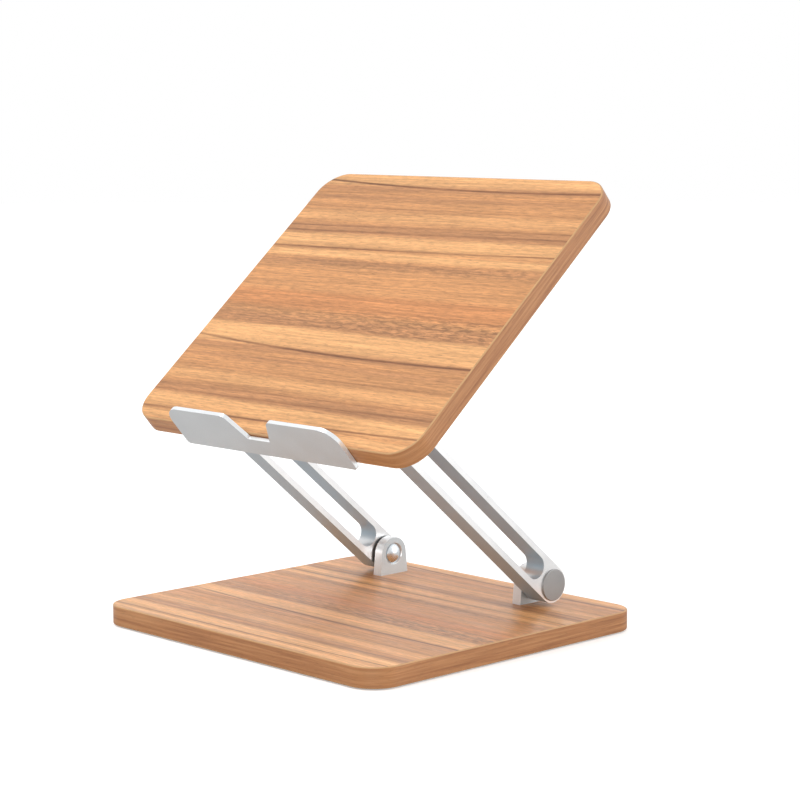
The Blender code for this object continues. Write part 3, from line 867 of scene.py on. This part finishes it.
def arms():
    """Two slotted bars with softened edges, from the lower hinge line to the upper one."""
    outline = capsule(-PIVOT_SPAN, 0, ARM_RADIUS, 48)
    slot = capsule(SLOT_INSET - PIVOT_SPAN, -SLOT_INSET, SLOT_RADIUS, 36)
    bar = bevelled(plate_mesh([outline, slot], ARM_OUTER - ARM_INNER), ARM_EDGE)
    middle = (ARM_INNER + ARM_OUTER) / 2
    for side_name, side in SIDES:
        place = ARM @ at(side * middle, 0, 0) @ UPRIGHT
        cutters = [(hinge_cutter(), LOWER @ across(side)), (hinge_cutter(), TRAY @ across(side))]
        mesh = combined(bar.copy(), "DIFFERENCE", local_tools(place, cutters))
        arm = add_piece(f"arm_{side_name}", mesh, place, "arms", "aluminium",
                        FACED_METAL, BAR_METAL_PAINTED_BELOW)
        for face in arm.data.polygons:
            face.material_index = 0 if abs(face.normal.z) > ARM_FACE else 1
        # Painted light: 1 on faces that point down, 0 on faces that point up, where the bar metal
        # paints its cooler colour.
        painted_underside_light = arm.data.attributes.new(PAINTED_UNDERSIDE_LIGHT, "FLOAT", "POINT")
        for vertex in arm.data.vertices:
            facing = PAINTED_UNDERSIDE_LEVEL - PAINTED_UNDERSIDE_SLOPE * vertex.normal.y
            painted_underside_light.data[vertex.index].value = min(max(facing, 0.0), 1.0)


def tray_brackets():
    """Two brackets with an inward flange under the tray. Returns the cutters for their screws."""
    seat = TRAY_UNDER + CONTACT
    upright = bevelled(plate_mesh([arch_outline(seat, 1)], BRACKET_THICKNESS), BRACKET_EDGE)
    hole = screw_hole(TRAY_SCREW_LENGTH)
    half = BRACKET_FOOT / 2
    tools = []
    for side_name, side in SIDES:
        outer = side * (BRACKET_INNER + BRACKET_THICKNESS / 2)
        inner = side * (BRACKET_INNER - FLANGE_REACH)
        place = TRAY @ at(outer, 0, 0) @ UPRIGHT
        outline = rounded_outline([(outer, -half, 0), (outer, half, 0),
                                   (inner, half, FLANGE_CORNER), (inner, -half, FLANGE_CORNER)])
        flange = bevelled(plate_mesh([outline], FLANGE_THICKNESS), FLANGE_EDGE)
        flange_place = TRAY @ at(0, 0, seat - FLANGE_THICKNESS / 2)
        cutters = [(hinge_cutter(), TRAY @ across(side))]
        for end, reach in (("front", -1), ("back", 1)):
            spot = TRAY @ at(side * (BRACKET_INNER - TRAY_SCREW_REACH),
                             reach * TRAY_SCREW_SPREAD,
                             seat - FLANGE_THICKNESS + SCREW_SINK) @ UPSIDE_DOWN
            add_piece(f"tray_bracket_screw_{side_name}_{end}",
                      countersunk_screw(TRAY_SCREW_LENGTH), spot, "tray", "zinc_steel", ZINC)
            cutters.append((hole, spot))
        mesh = combined(upright.copy(), "UNION", local_tools(place, [(flange, flange_place)]))
        mesh = combined(mesh, "DIFFERENCE", local_tools(place, cutters))
        bracket = add_piece(f"tray_bracket_{side_name}", mesh, place, "tray", "aluminium",
                            BRACKET_METAL, RIM_METAL_HIGHLIGHT)
        polish_and_highlight_rim(bracket)
        tools += cutters[1:]
    return tools


def stop_plate():
    """The notched plate at the tray's front edge. Returns the cutters for its screws."""
    top = TRAY_UNDER + BOARD_SIZE.z
    under = TRAY_UNDER - CLEARANCE - STOP_THICKNESS
    half_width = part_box("stop_plate")[1].x
    notch = [(NOTCH_HALF_TOP, top + STOP_HEIGHT, NOTCH_CORNER),
             (NOTCH_HALF_FLOOR, top - NOTCH_FLOOR, 0)]
    right = [(half_width, under, STOP_LOWER_CORNER),
             (half_width, top + STOP_HEIGHT, STOP_CORNER)] + notch
    left = [(-x, z, radius) for x, z, radius in reversed(right)]
    face = plate_mesh([rounded_outline(right + left)], STOP_THICKNESS)
    face = bevelled(face, STOP_EDGE)
    front_edge = TRAY_CENTRE.y - BOARD_SIZE.y / 2
    place = TRAY @ at(0, front_edge - CLEARANCE - STOP_THICKNESS / 2, 0) @ FACING
    ledge_start = front_edge - CLEARANCE - STOP_THICKNESS + STOP_EDGE
    ledge_end = front_edge + LEDGE_REACH
    outline = rounded_outline([(-LEDGE_HALF_WIDTH, ledge_start, 0),
                               (LEDGE_HALF_WIDTH, ledge_start, 0),
                               (LEDGE_HALF_WIDTH, ledge_end, LEDGE_CORNER),
                               (-LEDGE_HALF_WIDTH, ledge_end, LEDGE_CORNER)])
    ledge = plate_mesh([outline], STOP_THICKNESS)
    ledge_place = TRAY @ at(0, 0, under + STOP_THICKNESS / 2 + CLEARANCE)
    mesh = combined(face, "UNION", local_tools(place, [(ledge, ledge_place)]))
    hole = screw_hole(STOP_SCREW_LENGTH)
    tools = []
    for name, x in STOP_SCREWS:
        spot = TRAY @ at(x, front_edge + STOP_SCREW_SET_BACK,
                         under + CLEARANCE + SCREW_SINK) @ UPSIDE_DOWN
        add_piece(f"stop_plate_screw_{name}", countersunk_screw(STOP_SCREW_LENGTH), spot,
                  "tray", "zinc_steel", ZINC)
        tools.append((hole, spot))
    mesh = combined(mesh, "DIFFERENCE", local_tools(place, tools))
    polish_and_highlight_rim(add_piece("stop_plate", mesh, place, "tray", "aluminium", STOP_METAL, RIM_METAL_HIGHLIGHT))
    return tools


# Studio

def studio_floor():
    """A round pale floor. The camera sees it a little lighter than it lights the stand."""
    mesh = plate_mesh([arc((0, 0), FLOOR_RADIUS, 0, math.tau * 63 / 64, 63)], FLOOR_THICKNESS)
    floor = bpy.data.objects.new("floor", mesh)
    bpy.context.scene.collection.objects.link(floor)
    floor.location = (0, 0, -FLOOR_THICKNESS / 2)
    material, tree, shader = new_material("pale_floor")
    seen = tree.nodes.new("ShaderNodeLightPath").outputs["Is Camera Ray"]
    tone = remap(tree, noise(tree, object_place(tree), (3.0, 3.0, 3.0)), 0.3, 0.7, 0.98, 1.0)
    albedo = maths(tree, "MULTIPLY", tone, remap(tree, seen, 0.0, 1.0, *FLOOR_ALBEDO, False))
    feed(tree, shader.inputs["Base Color"], albedo)
    shader.inputs["Roughness"].default_value = 0.9
    shader.inputs["Specular IOR Level"].default_value = 0.1
    shader.inputs["Emission Color"].default_value = (1.0, 1.0, 1.0, 1.0)
    glow = maths(tree, "MULTIPLY", seen, FLOOR_GLOW)
    feed(tree, shader.inputs["Emission Strength"], glow)
    mesh.materials.append(material)


def soft_light(name, place, target, size, power):
    data = bpy.data.lights.new(name, "AREA")
    data.shape = "DISK"
    data.size = size
    data.energy = power
    light = bpy.data.objects.new(name, data)
    bpy.context.scene.collection.objects.link(light)
    light.location = place
    direction = Vector(target) - Vector(place)
    light.rotation_euler = direction.to_track_quat("-Z", "Y").to_euler()
    light.visible_camera = False
    return light


def studio_light():
    """A white backdrop that is brighter behind the stand than in front, and three soft lights."""
    world = bpy.data.worlds.new("studio")
    world.use_nodes = True
    tree = world.node_tree
    background = tree.nodes["Background"]
    background.inputs["Color"].default_value = (1.0, 1.0, 1.0, 1.0)
    direction = tree.nodes.new("ShaderNodeTexCoord").outputs["Generated"]
    _, towards_back, _ = split(tree, direction)
    lit = remap(tree, towards_back, -0.6, 0.6, *BACKDROP)
    seen = tree.nodes.new("ShaderNodeLightPath").outputs["Is Camera Ray"]
    feed(tree, background.inputs["Strength"], remap(tree, seen, 0.0, 1.0, lit, 1.0, False))
    bpy.context.scene.world = world
    soft_light("key_light", *KEY_LIGHT)
    soft_light("fill_light", *FILL_LIGHT)
    soft_light("side_light", *SIDE_LIGHT)
    bpy.context.scene.view_settings.view_transform = "Standard"
    bpy.context.scene.view_settings.look = "None"


def studio_camera():
    level = math.cos(CAMERA_ELEVATION)
    back = Vector((math.sin(CAMERA_AZIMUTH) * level, -math.cos(CAMERA_AZIMUTH) * level,
                   math.sin(CAMERA_ELEVATION)))
    right = Vector((math.cos(CAMERA_AZIMUTH), math.sin(CAMERA_AZIMUTH), 0))
    above = back.cross(right)
    turn = Matrix((right, above, back)).transposed().to_4x4()
    data = bpy.data.cameras.new("camera")
    data.lens = CAMERA_LENS
    data.sensor_width = 36.0
    camera = bpy.data.objects.new("camera", data)
    bpy.context.scene.collection.objects.link(camera)
    camera.matrix_world = at(*CAMERA_PLACE) @ turn @ Matrix.Rotation(CAMERA_ROLL, 4, "Z")
    bpy.context.scene.camera = camera


def joint_place(frame, name):
    return next(Vector(joint["pos_m"]) for joint in frame["joints"] if joint["name"] == name)


def mount(frame, name):
    return next(item for item in frame["record"]["mounts"] if item["name"] == name)


for leftover in list(bpy.data.objects):
    bpy.data.objects.remove(leftover, do_unlink=True)
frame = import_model()

# Places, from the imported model.
BASE_LOW, BASE_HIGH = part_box("base_board")
BASE_TOP = BASE_HIGH.z
BRACKET_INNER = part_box("base_bracket_right")[0].x
BRACKET_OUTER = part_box("base_bracket_right")[1].x
BRACKET_THICKNESS = BRACKET_OUTER - BRACKET_INNER
ARM_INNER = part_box("arm_right")[0].x
ARM_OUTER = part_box("arm_right")[1].x
BARREL_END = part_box("lower_hinge_barrel_right")[1].x
LOWER_HINGE = joint_place(frame, "arms_fold")
UPPER_HINGE = joint_place(frame, "tray_tilt")
PIVOT_SPAN = (UPPER_HINGE - LOWER_HINGE).length
TRAY_FACE = mount(frame, "tray_face")
TRAY_NORMAL = Vector(TRAY_FACE["axis"])
TRAY_ANGLE = math.atan2(-TRAY_NORMAL.y, TRAY_NORMAL.z)
ARM_ANGLE = math.atan2(UPPER_HINGE.z - LOWER_HINGE.z, LOWER_HINGE.y - UPPER_HINGE.y)
LOWER = Matrix.Translation(LOWER_HINGE)
ARM = LOWER @ Matrix.Rotation(-ARM_ANGLE, 4, "X")
TRAY = Matrix.Translation(UPPER_HINGE) @ Matrix.Rotation(TRAY_ANGLE, 4, "X")
BOARD_SIZE = BASE_HIGH - BASE_LOW
TRAY_TOP = TRAY.inverted() @ Vector(TRAY_FACE["pos_m"])
TRAY_CENTRE = TRAY_TOP - Vector((0, 0, BOARD_SIZE.z / 2))
TRAY_UNDER = TRAY_TOP.z - BOARD_SIZE.z

VENEER = veneer_material("walnut_veneer", BOARD_SIZE.y)
EDGE_BAND = edge_material("walnut_edge_band")
FACED_METAL = metal_material("machined_aluminium", (0.88, 0.88, 0.88), 0.30)
# The bar metal's second colour is painted light on the arms' faces that point down.
BAR_METAL_PAINTED_BELOW = metal_material("satin_aluminium_bar_painted_below", (0.74, 0.75, 0.76), 0.36, 0.75,
                           (0.41, 0.51, 0.585))
# A polished rim; its lighter colour is also a painted highlight line along the edges of the
# brackets and the stop plate.
RIM_METAL_HIGHLIGHT = metal_material("polished_aluminium_rim_highlight", (0.86, 0.89, 0.91), 0.30, 0.6)
BRACKET_METAL = metal_material("satin_aluminium_bracket", (0.60, 0.66, 0.69), 0.36, 0.5)
STOP_METAL = metal_material("satin_aluminium_stop", (0.55, 0.585, 0.605), 0.40, 0.15)
CHROME = turned_metal_material("polished_steel", (0.74, 0.79, 0.83), 0.24)
CAP_METAL = turned_metal_material("grey_anodised_cap", (0.34, 0.34, 0.34), 0.45, 0.6)
ZINC = turned_metal_material("zinc_plated_steel", (0.62, 0.63, 0.65), 0.28)
# Black nylon for the washers, its black also a painted shade in the gap between bracket and arm.
BLACK_NYLON_GAP_SHADE = polymer_material("black_nylon_gap_shade", (0.035, 0.035, 0.037), 0.5, 2500.0, 0.1)
RUBBER = polymer_material("black_rubber", (0.03, 0.03, 0.03), 0.85, 1600.0, 0.3)

studio_camera()
studio_light()
studio_floor()
base_place = Matrix.Translation((BASE_LOW + BASE_HIGH) / 2)
rounded_board("base_board", base_place, "base", BOARD_SIZE, foot_pads() + base_brackets())
tray_place = TRAY @ Matrix.Translation(TRAY_CENTRE)
rounded_board("tray_board", tray_place, "tray", BOARD_SIZE, tray_brackets() + stop_plate())
arms()
hinge_pieces("lower", LOWER, "base", LOWER)
hinge_pieces("upper", TRAY, "upper_pins", TRAY)
